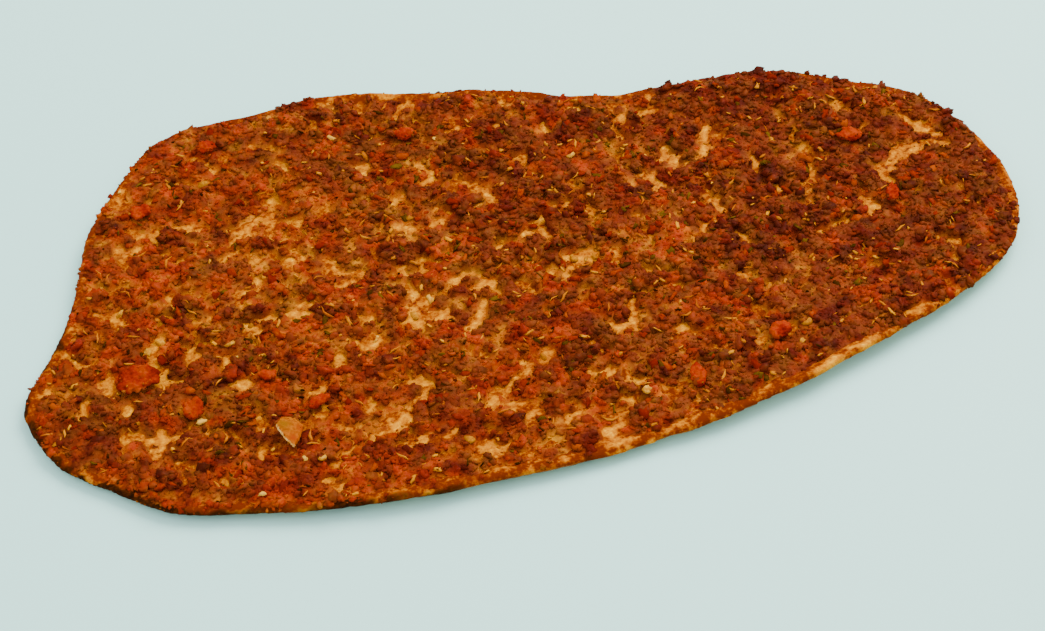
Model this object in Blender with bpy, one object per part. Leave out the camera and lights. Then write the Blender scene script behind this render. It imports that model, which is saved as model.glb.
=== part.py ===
# A lahmacun: an oblong, thin, crisp flatbread baked with a layer of minced meat, and the larger
# pieces of tomato and pepper that lie on it. Metres, +Z up. +X runs along the bread, the flat
# middle of its underside lies on z = 0, and the origin is under the middle of its box.

import math
import random

import bmesh
import bpy
from mathutils import Matrix, Vector, noise
from mathutils.geometry import delaunay_2d_cdt

MM = 0.001

# Plan of the bread: a superellipse, pushed out or drawn in by lobes.
# A lobe is its direction in degrees from +X, its height and its spread in degrees.
HALF_LENGTH = 177.0 * MM
HALF_WIDTH = 90.0 * MM
SQUARENESS = 2.46
EDGE_LOBES = (
    (-172.0, 3.5 * MM, 4.0),
    (-157.0, -2.2 * MM, 9.0),
    (-154.0, 15.0 * MM, 36.0),
    (-148.0, 2.6 * MM, 4.0),
    (-96.0, 9.0 * MM, 50.0),
    (-35.0, -5.0 * MM, 14.0),
    (10.0, -2.6 * MM, 16.0),
    (20.0, -2.4 * MM, 4.0),
    (32.0, 1.8 * MM, 6.0),
    (45.0, -22.0 * MM, 31.5),
    (117.0, 12.3 * MM, 12.7),
    (138.0, 16.5 * MM, 11.0),
    (173.5, -30.0 * MM, 17.3),
)
EDGE_STEPS = 132
EDGE_SEARCH_STEP = 0.5
EDGE_RAGGEDNESS = 0.9 * MM
EDGE_RAGGED_STEPS = 16.0
EDGE_FRAY_STEPS = 64.0

# Section of the bread.
BREAD_THICKNESS = 2.4 * MM
BREAD_WAVE = 0.35 * MM
BREAD_WAVE_LENGTH = 45.0 * MM
CORNER_INSET = 0.9 * MM
FOOT_INSET = 1.3 * MM
EDGE_HEIGHT_SHARE = 0.45
RIM_SWELL = 0.7 * MM
CORNER_SWELL = 0.28 * MM
RIM_BLISTER = 0.5 * MM
BLISTER_STEPS = 40.0

# The underside is flat inside FLAT_SHARE of the way to the edge, and curls up outside it.
FLAT_SHARE = 0.5
EDGE_CURL = 3.2 * MM
CURL_LOBES = (
    (10.0, 1.9 * MM, 40.0),
    (-40.0, 1.2 * MM, 25.0),
    (95.0, 0.8 * MM, 30.0),
    (-160.0, -1.0 * MM, 30.0),
)
RIM_WAVES = 5
RIM_WAVE_HEIGHT = 0.6 * MM

# The meat topping, a layer over the bread with a ragged edge.
GAP = 0.32 * MM
TOPPING_THICKNESS = 2.3 * MM
TOPPING_EDGE_THICKNESS = 0.8 * MM
TOPPING_SHOULDER = 4.0 * MM
TOPPING_INSET = 2.4 * MM
TOPPING_INSET_RANGE = 3.4 * MM
TOPPING_INSET_BIAS = 0.15
TOPPING_INSET_STEPS = 9.0
TOPPING_FRAY = 0.45 * MM
TOPPING_FRAY_STEPS = 45.0
CRAG_HEIGHT = 0.75 * MM
CRAG_LENGTH = 11.0 * MM
GRIT_HEIGHT = 0.3 * MM

# How far apart the points of each surface lie, and how far they keep from its loops.
TOPPING_SPACING = 6.4 * MM
TOPPING_CLEAR = 2.9 * MM
BREAD_SPACING = 14.0 * MM
BREAD_CLEAR = 4.9 * MM
PATCH_CLEAR = 2.45 * MM
UNDERSIDE_SPACING = 24.0 * MM
UNDERSIDE_CLEAR = 9.6 * MM
JITTER = 0.26

# Patches where the topping leaves the bread bare, in millimetres and degrees:
# place along X and Y, half length, half width, turn.
BARE_PATCHES = (
    (148, 8, 12.0, 4.5, 15),
    (80, 37, 7.0, 2.6, 55),
    (56, 22, 4.5, 2.2, 75),
    (65, -7, 4.5, 2.0, 60),
    (16, -8, 4.0, 3.0, -30),
    (25, -42, 4.5, 2.2, 90),
    (-7, -50, 4.5, 2.2, 55),
    (2, -82, 4.0, 2.6, 15),
    (-18, -74, 4.0, 2.4, 10),
    (-3, 30, 4.0, 2.5, -60),
    (4, 76, 6.0, 3.0, 10),
    (-21, 50, 7.0, 2.8, 87),
    (-35, 26, 5.5, 3.5, 5),
    (-60, 7, 5.5, 3.0, -10),
    (-42, -18, 8.0, 3.5, 45),
    (-24, -27, 6.0, 2.5, 55),
    (-60, -27, 4.5, 3.5, 30),
    (-49, -76, 5.5, 2.2, 20),
    (-80, -75, 6.0, 2.2, 50),
    (-92, 9, 5.5, 2.5, 40),
    (-80, 40, 6.0, 2.3, 90),
    (-138, 7, 5.5, 3.5, 90),
    (-127, -8, 5.0, 2.6, 50),
)
PATCH_CORNERS = 10
PATCH_RAGGEDNESS = 0.28

# Fused grains of minced meat, each a low ball pressed into the topping.
GRAIN_RADIUS = 1.9 * MM
GRAIN_RADIUS_RANGE = 0.5 * MM
GRAIN_SHAPE = (1.2, 1.0, 0.72)
GRAIN_RAGGEDNESS = 0.16
GRAIN_SEARCH_STEP = 10.2 * MM
GRAIN_APART = (10.2 * MM, 17.0 * MM)
GRAIN_CLEAR = 4.6 * MM
GRAIN_RISE = 0.15

# Chips that lie in seats pressed into the topping, in millimetres and degrees:
# place along X and Y, half length, half width, turn. A chip's section gives its width,
# as a share of its outline, at shares of its thickness.
TOMATO_PIECES = (
    (-137, -24, 7.2, 5.4, 10),
    (-122, -42, 4.2, 3.8, 60),
)
PEPPER_CHIPS = (
    (-23, 70, 4.4, 2.6, -17),
    (129, 22, 4.6, 2.9, -25),
    (132, -11, 4.6, 2.3, 70),
    (69, -64, 4.5, 3.6, 60),
    (36, -76, 5.2, 2.4, 75),
    (-96, -34, 3.2, 2.6, 0),
    (-83, -50, 4.4, 2.1, 25),
    (-92, 82, 4.0, 2.6, 5),
    (-121, 54, 3.8, 3.0, 40),
)
SEAT_THICKNESS = 1.1 * MM
SEAT_MARGIN = 0.9 * MM
SEAT_SLOPE_STEP = 2.0 * MM
CHIP_THICKNESS = 1.7 * MM
CHIP_SECTION = ((0.0, 0.94), (0.6, 1.0), (1.0, 0.8))
CHIP_CORNERS = 9
CHIP_RAGGEDNESS = 0.16

# The raised shard of yellow pepper: a kite on its tip and one side, the other side lifted.
# Corners are millimetres from its place, along X and Y, and its lift there.
SHARD_PLACE = (-94, -61)
SHARD_CORNERS = (
    (-1.2, -7.2, 0.2),
    (2.2, -2.6, 0.0),
    (4.0, 1.6, 0.0),
    (1.6, 6.4, 0.4),
    (-2.8, 5.6, 1.8),
    (-5.2, 1.4, 3.2),
    (-3.8, -3.4, 1.9),
)
SHARD_SEAT_SPREAD = 1.25
SHARD_TOP_SPREAD = 0.92
SHARD_HOLLOW = 0.35 * MM
SHARD_CROWN = 0.7 * MM
SHARD_THICKNESS = 1.1 * MM

# Base colour and roughness of each finish.
FINISHES = {
    "crust": ((0.72, 0.36, 0.10), 0.75),
    "cooked_meat": ((0.20, 0.055, 0.012), 0.6),
    "tomato": ((0.62, 0.07, 0.015), 0.4),
    "red_pepper": ((0.70, 0.11, 0.02), 0.4),
    "yellow_pepper": ((0.74, 0.38, 0.07), 0.4),
}

# Each rule reads its own slice of the noise, and its own draw of random numbers.
NOISE_SLICE = {
    "fray": 1.5,
    "topping_inset": 2.5,
    "bread_wave": 3.5,
    "topping_fray": 4.5,
    "blister": 6.5,
    "edge": 8.5,
    "crag": 9.5,
}
SEEDS = {"grit": 7, "bread": 8, "underside": 9, "topping": 10, "apart": 11, "places": 12, "grains": 13}
CDT_EPSILON = 1e-7
CREASE_DEGREES = 40.0


def lobes_at(direction, lobes):
    # Sum of smooth lobes in a direction.
    total = 0.0
    for middle, height, spread in lobes:
        away = (direction - middle + 180.0) % 360.0 - 180.0
        total += height * math.exp(-((away / spread) ** 2))
    return total


def ring_noise(direction, steps, rule):
    # Noise from -1 to 1 that closes on itself round the edge.
    x, y = polar_point(direction, steps / (2.0 * math.pi))
    return noise.noise(Vector((x, y, NOISE_SLICE[rule])))


def plan_noise(x, y, length, rule):
    # Noise from -1 to 1 over the plan, with waves of about the given length.
    return noise.noise(Vector((x / length, y / length, NOISE_SLICE[rule])))


def polar_point(direction, radius):
    turn = math.radians(direction)
    return (radius * math.cos(turn), radius * math.sin(turn))


def smooth_radius(direction):
    # Distance from the middle of the plan to the smooth edge.
    turn = math.radians(direction)
    along = abs(math.cos(turn) / HALF_LENGTH) ** SQUARENESS
    across = abs(math.sin(turn) / HALF_WIDTH) ** SQUARENESS
    return (along + across) ** (-1.0 / SQUARENESS) + lobes_at(direction, EDGE_LOBES)


def edge_radius(direction):
    # The same distance to the crisp, ragged edge.
    ragged = ring_noise(direction, EDGE_FRAY_STEPS, "fray")
    ragged += ring_noise(direction, EDGE_RAGGED_STEPS, "edge")
    return smooth_radius(direction) + EDGE_RAGGEDNESS * ragged


def even_directions(count):
    # Directions at even steps along the smooth edge.
    steps = int(360.0 / EDGE_SEARCH_STEP)
    fine = [i * EDGE_SEARCH_STEP for i in range(steps + 1)]
    rim = [polar_point(d, smooth_radius(d)) for d in fine]
    run = [0.0]
    for a, b in zip(rim, rim[1:]):
        run.append(run[-1] + math.dist(a, b))
    directions = []
    k = 0
    for i in range(count):
        target = run[-1] * i / count
        while run[k + 1] < target:
            k += 1
        part = (target - run[k]) / (run[k + 1] - run[k])
        directions.append(fine[k] + EDGE_SEARCH_STEP * part)
    return directions


DIRECTIONS = even_directions(EDGE_STEPS)
RAW_EDGE = [polar_point(d, edge_radius(d)) for d in DIRECTIONS]
CENTRE_X = 0.5 * (min(p[0] for p in RAW_EDGE) + max(p[0] for p in RAW_EDGE))
CENTRE_Y = 0.5 * (min(p[1] for p in RAW_EDGE) + max(p[1] for p in RAW_EDGE))


def edge_loop(inset_at):
    # A loop that follows the edge, drawn in by an inset that may vary.
    loop = []
    for direction in DIRECTIONS:
        x, y = polar_point(direction, edge_radius(direction) - inset_at(direction))
        loop.append((x - CENTRE_X, y - CENTRE_Y))
    return loop


def polar(x, y):
    # Direction of a point, and how far it is on the way from the middle to the edge.
    direction = math.degrees(math.atan2(y + CENTRE_Y, x + CENTRE_X))
    return direction, math.hypot(x + CENTRE_X, y + CENTRE_Y) / smooth_radius(direction)


def underside(x, y):
    direction, share = polar(x, y)
    rise = max(0.0, (share - FLAT_SHARE) / (1.0 - FLAT_SHARE))
    curl = EDGE_CURL + lobes_at(direction, CURL_LOBES)
    curl += RIM_WAVE_HEIGHT * math.sin(RIM_WAVES * math.radians(direction))
    return curl * rise ** 2


def bread_top(x, y):
    wave = plan_noise(x, y, BREAD_WAVE_LENGTH, "bread_wave")
    return underside(x, y) + BREAD_THICKNESS + BREAD_WAVE * wave


def topping_inset(direction):
    # Width of the bare rim: narrow, and wider here and there.
    wide = ring_noise(direction, TOPPING_INSET_STEPS, "topping_inset") + TOPPING_INSET_BIAS
    fray = 1.0 + ring_noise(direction, TOPPING_FRAY_STEPS, "topping_fray")
    return TOPPING_INSET + TOPPING_INSET_RANGE * max(0.0, wide) + TOPPING_FRAY * fray


def ridge_inset(direction):
    return 0.5 * (CORNER_INSET + topping_inset(direction))


def blob(place, radii, turn, ragged, corners, margin=0.0):
    # A ragged closed outline about a place on the plan.
    rng = random.Random(f"{place[0]:.4f} {place[1]:.4f}")
    tilt = math.radians(turn)
    outline = []
    for i in range(corners):
        angle = 2.0 * math.pi * i / corners
        wobble = 1.0 + ragged * rng.uniform(-1.0, 1.0)
        u = (radii[0] * wobble + margin) * math.cos(angle)
        v = (radii[1] * wobble + margin) * math.sin(angle)
        x = place[0] + u * math.cos(tilt) - v * math.sin(tilt)
        y = place[1] + u * math.sin(tilt) + v * math.cos(tilt)
        outline.append((x, y))
    return outline


def inside(point, loop):
    # Whether a point of the plan lies inside a closed loop.
    x, y = point
    odd = False
    for (x1, y1), (x2, y2) in zip(loop, loop[1:] + loop[:1]):
        if (y1 > y) != (y2 > y) and x < (x2 - x1) * (y - y1) / (y2 - y1) + x1:
            odd = not odd
    return odd


def distance(point, loop):
    # Shortest way on the plan from a point to a closed loop.
    x, y = point
    best = 1.0
    for (x1, y1), (x2, y2) in zip(loop, loop[1:] + loop[:1]):
        dx, dy = x2 - x1, y2 - y1
        t = ((x - x1) * dx + (y - y1) * dy) / (dx * dx + dy * dy)
        t = min(1.0, max(0.0, t))
        best = min(best, math.hypot(x1 + t * dx - x, y1 + t * dy - y))
    return best


def scatter(spacing, rule):
    # Points over the whole plan, on a jittered triangular grid.
    rng = random.Random(SEEDS[rule])
    rows = int(2.0 * HALF_LENGTH / spacing) + 2
    row_step = spacing * math.sqrt(0.75)
    points = []
    for j in range(-rows, rows + 1):
        for i in range(-rows, rows + 1):
            x = (i + 0.5 * (j % 2)) * spacing + JITTER * spacing * rng.uniform(-1.0, 1.0)
            y = j * row_step + JITTER * spacing * rng.uniform(-1.0, 1.0)
            points.append((x, y))
    return points


def triangulate(loops, loose):
    # Triangles over the plan that keep every loop as edges, each turned to face up.
    points = [p for loop in loops for p in loop] + loose
    edges = []
    start = 0
    for loop in loops:
        count = len(loop)
        edges += [(start + i, start + (i + 1) % count) for i in range(count)]
        start += count
    flat = [Vector(p) for p in points]
    result = delaunay_2d_cdt(flat, edges, [], 0, CDT_EPSILON)
    assert len(result[0]) == len(points)
    triangles = []
    for a, b, c in result[2]:
        (ax, ay), (bx, by), (cx, cy) = points[a], points[b], points[c]
        turn = (bx - ax) * (cy - ay) - (by - ay) * (cx - ax)
        triangles.append((a, b, c) if turn > 0.0 else (a, c, b))
    return points, triangles


def keep(points, triangles, outer, holes):
    # The triangles inside the outer loop and outside every hole.
    kept = []
    for tri in triangles:
        x = sum(points[i][0] for i in tri) / 3.0
        y = sum(points[i][1] for i in tri) / 3.0
        if inside((x, y), outer) and not any(inside((x, y), hole) for hole in holes):
            kept.append(tri)
    return kept


def wall(upper, lower, flip=False):
    # Triangles between two loops of the same length, given as lists of vertex numbers.
    faces = []
    count = len(upper)
    for i in range(count):
        j = (i + 1) % count
        faces.append((lower[i], lower[j], upper[j]))
        faces.append((lower[i], upper[j], upper[i]))
    return [tri[::-1] for tri in faces] if flip else faces


def material(name, colour, roughness):
    made = bpy.data.materials.new(name)
    made.use_nodes = True
    shader = made.node_tree.nodes["Principled BSDF"]
    shader.inputs["Base Color"].default_value = (*colour, 1.0)
    shader.inputs["Roughness"].default_value = roughness
    shader.inputs["Metallic"].default_value = 0.0
    return made


def solid(name, verts, faces, finish):
    # One object from vertices and triangles, without the vertices that no triangle uses.
    mesh = bpy.data.meshes.new(name)
    mesh.from_pydata([Vector(v) for v in verts], [], faces)
    bm = bmesh.new()
    bm.from_mesh(mesh)
    loose = [v for v in bm.verts if not v.link_faces]
    bmesh.ops.delete(bm, geom=loose, context="VERTS")
    bmesh.ops.recalc_face_normals(bm, faces=bm.faces)
    bm.to_mesh(mesh)
    bm.free()
    mesh.materials.append(finish)
    obj = bpy.data.objects.new(name, mesh)
    bpy.context.collection.objects.link(obj)
    return obj


def seat_plane(place):
    # Height of the tilted flat seat of a chip, as a function of the plan.
    x0, y0 = place
    step = SEAT_SLOPE_STEP
    slope_x = (bread_top(x0 + step, y0) - bread_top(x0 - step, y0)) / (2.0 * step)
    slope_y = (bread_top(x0, y0 + step) - bread_top(x0, y0 - step)) / (2.0 * step)
    base = bread_top(x0, y0) + GAP + SEAT_THICKNESS
    return lambda x, y: base + slope_x * (x - x0) + slope_y * (y - y0)


def chip_place(row):
    return (row[0] * MM, row[1] * MM)


def chip_outline(row, margin=0.0):
    radii = (row[2] * MM, row[3] * MM)
    return blob(chip_place(row), radii, row[4], CHIP_RAGGEDNESS, CHIP_CORNERS, margin)


def shard_outline(spread=1.0):
    x0, y0 = chip_place(SHARD_PLACE)
    return [(x0 + spread * x * MM, y0 + spread * y * MM) for x, y, _ in SHARD_CORNERS]


CHIPS = TOMATO_PIECES + PEPPER_CHIPS
TOPPING_EDGE = edge_loop(topping_inset)
PATCH_LOOPS = [
    blob((x * MM, y * MM), (a * MM, b * MM), turn, PATCH_RAGGEDNESS, PATCH_CORNERS)
    for x, y, a, b, turn in BARE_PATCHES
]
SEAT_LOOPS = [chip_outline(row, SEAT_MARGIN) for row in CHIPS] + [shard_outline(SHARD_SEAT_SPREAD)]
SEAT_PLANES = [seat_plane(chip_place(row)) for row in CHIPS + (SHARD_PLACE,)]


def bread_plan():
    # Triangles shared by the top of the bread and the underside of the topping.
    ridge = edge_loop(ridge_inset)
    corner = edge_loop(lambda direction: CORNER_INSET)
    loops = [TOPPING_EDGE] + PATCH_LOOPS + [ridge, corner]
    loose = []
    for p in scatter(BREAD_SPACING, "bread"):
        if not inside(p, TOPPING_EDGE) or distance(p, TOPPING_EDGE) < BREAD_CLEAR:
            continue
        if any(inside(p, loop) or distance(p, loop) < PATCH_CLEAR for loop in PATCH_LOOPS):
            continue
        loose.append(p)
    return loops, triangulate(loops, loose)


def make_bread(finish, loops, plan):
    points, triangles = plan
    corner = loops[-1]
    verts = [(x, y, bread_top(x, y)) for x, y in points]
    first_ridge = sum(len(loop) for loop in loops[:-2])
    first_corner = first_ridge + EDGE_STEPS
    for i, direction in enumerate(DIRECTIONS):
        blister = RIM_BLISTER * ring_noise(direction, BLISTER_STEPS, "blister")
        x, y, z = verts[first_ridge + i]
        verts[first_ridge + i] = (x, y, z + RIM_SWELL + blister)
        x, y, z = verts[first_corner + i]
        verts[first_corner + i] = (x, y, z + CORNER_SWELL + blister)
    faces = keep(points, triangles, corner, [])
    corner_ids = list(range(first_corner, first_corner + EDGE_STEPS))

    edge = edge_loop(lambda direction: 0.0)
    first_edge = len(verts)
    rise = EDGE_HEIGHT_SHARE * BREAD_THICKNESS
    verts += [(x, y, underside(x, y) + rise) for x, y in edge]
    edge_ids = list(range(first_edge, first_edge + EDGE_STEPS))
    faces += wall(corner_ids, edge_ids)

    foot = edge_loop(lambda direction: FOOT_INSET)
    loose = [p for p in scatter(UNDERSIDE_SPACING, "underside") if inside(p, foot)]
    loose = [p for p in loose if distance(p, foot) > UNDERSIDE_CLEAR]
    low_points, low_triangles = triangulate([foot], loose)
    first_foot = len(verts)
    verts += [(x, y, underside(x, y)) for x, y in low_points]
    foot_ids = list(range(first_foot, first_foot + EDGE_STEPS))
    faces += wall(edge_ids, foot_ids)
    for tri in keep(low_points, low_triangles, foot, []):
        faces.append(tuple(first_foot + i for i in reversed(tri)))
    bread = solid("bread", verts, faces, finish)
    bread.data.shade_smooth()
    bread.data.set_sharp_from_angle(angle=math.radians(CREASE_DEGREES))


def crag(x, y):
    return CRAG_HEIGHT * plan_noise(x, y, CRAG_LENGTH, "crag")


def topping_top(point, away, rng):
    # Height of the topping's crumbly surface, which thins towards its edges.
    x, y = point
    swell = min(1.0, away / TOPPING_SHOULDER)
    swell = swell * swell * (3.0 - 2.0 * swell)
    relief = crag(x, y) + GRIT_HEIGHT * rng.uniform(-1.0, 1.0)
    full = TOPPING_THICKNESS - TOPPING_EDGE_THICKNESS + relief
    return bread_top(x, y) + GAP + TOPPING_EDGE_THICKNESS + swell * full


def make_topping(finish, plan):
    low_points, low_triangles = plan
    rims = [TOPPING_EDGE] + PATCH_LOOPS
    rim_count = sum(len(loop) for loop in rims)
    low_faces = keep(low_points, low_triangles, TOPPING_EDGE, PATCH_LOOPS)
    verts = [(x, y, bread_top(x, y) + GAP) for x, y in low_points]
    faces = [tri[::-1] for tri in low_faces]

    loose = []
    for p in scatter(TOPPING_SPACING, "topping"):
        if not inside(p, TOPPING_EDGE):
            continue
        if any(inside(p, loop) for loop in PATCH_LOOPS + SEAT_LOOPS):
            continue
        if min(distance(p, loop) for loop in rims + SEAT_LOOPS) > TOPPING_CLEAR:
            loose.append(p)
    loops = rims + SEAT_LOOPS
    points, triangles = triangulate(loops, loose)
    first_top = len(verts)
    rng = random.Random(SEEDS["grit"])
    first_seat = rim_count
    first_loose = first_seat + sum(len(loop) for loop in SEAT_LOOPS)
    for i, (x, y) in enumerate(points):
        away = 0.0
        if i >= first_loose:
            away = min(distance((x, y), loop) for loop in rims)
        verts.append((x, y, topping_top((x, y), away, rng)))
    k = first_seat
    for loop, plane in zip(SEAT_LOOPS, SEAT_PLANES):
        for x, y in loop:
            verts[first_top + k] = (x, y, plane(x, y))
            k += 1
    for tri in keep(points, triangles, TOPPING_EDGE, PATCH_LOOPS):
        faces.append(tuple(first_top + i for i in tri))

    start = 0
    for loop in rims:
        low_ids = list(range(start, start + len(loop)))
        top_ids = [first_top + i for i in low_ids]
        faces += wall(top_ids, low_ids, flip=start > 0)
        start += len(loop)
    topping = solid("meat_topping", verts, faces, finish)
    fuse(topping, make_grains(rims))


def grain_places(rims):
    # Grains keep apart from each other and clear of edges, patches and seats.
    rng = random.Random(SEEDS["apart"])
    places = []
    for p in scatter(GRAIN_SEARCH_STEP, "places"):
        if not inside(p, TOPPING_EDGE):
            continue
        if any(inside(p, loop) for loop in PATCH_LOOPS + SEAT_LOOPS):
            continue
        if min(distance(p, loop) for loop in rims + SEAT_LOOPS) < GRAIN_CLEAR:
            continue
        if all(math.dist(p, other) > rng.uniform(*GRAIN_APART) for other in places):
            places.append(p)
    return places


def make_grains(rims):
    rng = random.Random(SEEDS["grains"])
    grains = []
    for x, y in grain_places(rims):
        radius = GRAIN_RADIUS + GRAIN_RADIUS_RANGE * rng.uniform(-1.0, 1.0)
        bm = bmesh.new()
        bmesh.ops.create_icosphere(bm, subdivisions=1, radius=radius)
        for v in bm.verts:
            v.co *= 1.0 + GRAIN_RAGGEDNESS * rng.uniform(-1.0, 1.0)
        turn = Matrix.Rotation(rng.uniform(0.0, 2.0 * math.pi), 4, "Z")
        tip = Matrix.Rotation(rng.uniform(0.0, math.pi), 4, "X")
        squash = Matrix.Diagonal((*GRAIN_SHAPE, 1.0))
        surface = bread_top(x, y) + GAP + TOPPING_THICKNESS + crag(x, y)
        place = Matrix.Translation((x, y, surface + GRAIN_RISE * radius))
        bm.transform(place @ turn @ squash @ tip)
        mesh = bpy.data.meshes.new("grain")
        bm.to_mesh(mesh)
        bm.free()
        grains.append(bpy.data.objects.new("grain", mesh))
    return grains


def fuse(obj, pieces):
    # One union of the pieces with the object, applied, with the pieces then removed.
    group = bpy.data.collections.new("grains")
    bpy.context.scene.collection.children.link(group)
    for piece in pieces:
        group.objects.link(piece)
    union = obj.modifiers.new("grains", "BOOLEAN")
    union.operation = "UNION"
    union.solver = "EXACT"
    union.operand_type = "COLLECTION"
    union.collection = group
    bpy.context.view_layer.objects.active = obj
    bpy.ops.object.modifier_apply(modifier=union.name)
    for piece in pieces:
        bpy.data.objects.remove(piece)
    bpy.data.collections.remove(group)


def stack(name, rings, finish):
    # A closed solid of loops of equal length, from the lowest to the highest, both ends filled.
    count = len(rings[0])
    verts = [p for ring in rings for p in ring]
    faces = []
    for k in range(len(rings) - 1):
        lower = list(range(k * count, (k + 1) * count))
        upper = [i + count for i in lower]
        faces += wall(upper, lower)
    top = (len(rings) - 1) * count
    faces += [(0, i + 1, i) for i in range(1, count - 1)]
    faces += [(top, top + i, top + i + 1) for i in range(1, count - 1)]
    return solid(name, verts, faces, finish)


def make_chip(name, row, finish):
    place = chip_place(row)
    plane = seat_plane(place)
    outline = chip_outline(row)
    rings = []
    for height, share in CHIP_SECTION:
        ring = []
        for x, y in outline:
            px = place[0] + share * (x - place[0])
            py = place[1] + share * (y - place[1])
            ring.append((px, py, plane(px, py) + GAP + height * CHIP_THICKNESS))
        rings.append(ring)
    return stack(name, rings, finish)


def make_shard(finish):
    place = chip_place(SHARD_PLACE)
    plane = seat_plane(place)
    rings = []
    for height, spread in ((0.0, 1.0), (SHARD_THICKNESS, SHARD_TOP_SPREAD)):
        ring = []
        for (x, y), corner in zip(shard_outline(spread), SHARD_CORNERS):
            ring.append((x, y, plane(x, y) + GAP + corner[2] * MM + height))
        rings.append(ring)
    count = len(rings[0])
    verts = [p for ring in rings for p in ring]
    for ring, crown in zip(rings, (SHARD_HOLLOW, SHARD_CROWN)):
        middle = [sum(p[k] for p in ring) / count for k in range(3)]
        verts.append((middle[0], middle[1], middle[2] + crown))
    faces = wall([i + count for i in range(count)], list(range(count)))
    for i in range(count):
        j = (i + 1) % count
        faces.append((2 * count, j, i))
        faces.append((2 * count + 1, count + i, count + j))
    return solid("pepper_shard", verts, faces, finish)


def main():
    for obj in list(bpy.data.objects):
        bpy.data.objects.remove(obj)
    finish = {name: material(name, *look) for name, look in FINISHES.items()}

    loops, plan = bread_plan()
    make_bread(finish["crust"], loops, plan)
    make_topping(finish["cooked_meat"], plan)
    for i, row in enumerate(TOMATO_PIECES, 1):
        make_chip(f"tomato_piece_{i:02d}", row, finish["tomato"])
    for i, row in enumerate(PEPPER_CHIPS, 1):
        make_chip(f"pepper_chip_{i:02d}", row, finish["red_pepper"])
    make_shard(finish["yellow_pepper"])


main()
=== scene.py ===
import math
import bpy
import numpy as np
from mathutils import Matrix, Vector
from mathutils.bvhtree import BVHTree
from mathutils.kdtree import KDTree


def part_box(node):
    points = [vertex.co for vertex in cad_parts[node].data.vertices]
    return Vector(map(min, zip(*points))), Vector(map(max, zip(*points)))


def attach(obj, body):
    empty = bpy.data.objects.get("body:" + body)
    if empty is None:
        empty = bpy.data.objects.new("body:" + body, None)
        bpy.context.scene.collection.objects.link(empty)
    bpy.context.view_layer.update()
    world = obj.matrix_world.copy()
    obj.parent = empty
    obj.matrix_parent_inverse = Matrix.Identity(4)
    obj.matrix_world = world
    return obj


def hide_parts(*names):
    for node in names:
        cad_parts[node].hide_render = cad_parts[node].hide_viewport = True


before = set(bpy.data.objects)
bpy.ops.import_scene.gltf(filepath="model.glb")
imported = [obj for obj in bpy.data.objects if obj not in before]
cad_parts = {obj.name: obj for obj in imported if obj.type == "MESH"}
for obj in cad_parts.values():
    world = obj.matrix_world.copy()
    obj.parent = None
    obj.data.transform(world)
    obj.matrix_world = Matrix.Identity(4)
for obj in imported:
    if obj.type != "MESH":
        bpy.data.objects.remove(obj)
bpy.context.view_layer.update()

mm = 0.001

# the camera, the lights and the floor; a light's way is to the right, away from the camera and up
view = {
    "azimuth": -17.05, "elevation": 44.0,      # degrees
    "distance": 0.80, "clipStart": 0.01,
    "lens": 83.5, "sensor": 36,                # mm
    "target": (-9.64, -32.23, 5.5),            # mm
}
lights = {
    "key": {"way": (0.55, 0.62, 1.0), "distance": 1.3, "size": 1.0, "power": 29.0,
            "colour": (1, 0.97, 0.92)},
    "fill": {"way": (-0.8, -0.5, 1.1), "distance": 1.5, "size": 1.4, "power": 9.0,
             "colour": (0.95, 0.98, 1)},
}
stage = {
    "skyColour": (0.96, 0.99, 1.0), "skyStrength": 1.4,
    "floorSize": 6.0, "floorDrop": 0.2 * mm, "floorColour": (470, 830, 760), "floorRoughness": 0.6,
}


def paint(r, g, b):
    # a linear colour in thousandths, which suits such deep oranges
    return (r / 1000, g / 1000, b / 1000, 1.0)


def nothingSelected():
    if bpy.context.object and bpy.context.object.mode != "OBJECT":
        bpy.ops.object.mode_set(mode="OBJECT")
    bpy.ops.object.select_all(action="DESELECT")


def cameraAxes():
    a, e = math.radians(view["azimuth"]), math.radians(view["elevation"])
    back = Vector((math.sin(a) * math.cos(e), -math.cos(a) * math.cos(e), math.sin(e)))
    right = Vector((math.cos(a), math.sin(a), 0))
    away = Vector((-math.sin(a), math.cos(a), 0))
    return back, right, away


def aimedLight(name, look):
    back, right, away = cameraAxes()
    aside, beyond, above = look["way"]
    way = (right * aside + away * beyond + Vector((0, 0, above))).normalized()
    bpy.ops.object.light_add(type="AREA", location=way * look["distance"])
    light = bpy.context.object
    light.name = name
    light.rotation_euler = (-way).to_track_quat("-Z", "Y").to_euler()
    light.data.shape = "DISK"
    light.data.size = look["size"]
    light.data.energy = look["power"]
    light.data.color = look["colour"]


print("camera, lights and floor")
back, right, away = cameraAxes()
nothingSelected()
target = Vector(view["target"]) * mm
bpy.ops.object.camera_add(location=target + back * view["distance"])
camera = bpy.context.object
camera.rotation_euler = (-back).to_track_quat("-Z", "Y").to_euler()
camera.data.lens = view["lens"]
camera.data.sensor_width = view["sensor"]
camera.data.clip_start = view["clipStart"]
bpy.context.scene.camera = camera

for name, look in lights.items():
    aimedLight(name, look)
world = bpy.data.worlds.new("studio")
world.use_nodes = True
sky = world.node_tree.nodes["Background"].inputs
sky[0].default_value = (*stage["skyColour"], 1)
sky[1].default_value = stage["skyStrength"]
bpy.context.scene.world = world

bpy.ops.mesh.primitive_plane_add(size=stage["floorSize"], location=(0, 0, 0))
floor = bpy.context.object
floor.name = "floor"
floor.location.z = -stage["floorDrop"]


# the steps that all materials are built from
def newShader(name):
    material = bpy.data.materials.new(name)
    material.use_nodes = True
    return material


def node(material, kind, values=None, **settings):
    made = material.node_tree.nodes.new("ShaderNode" + kind)
    for key, value in settings.items():
        setattr(made, key, value)
    for key, value in (values or {}).items():
        wire(material, value, made.inputs[key])
    return made


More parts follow.
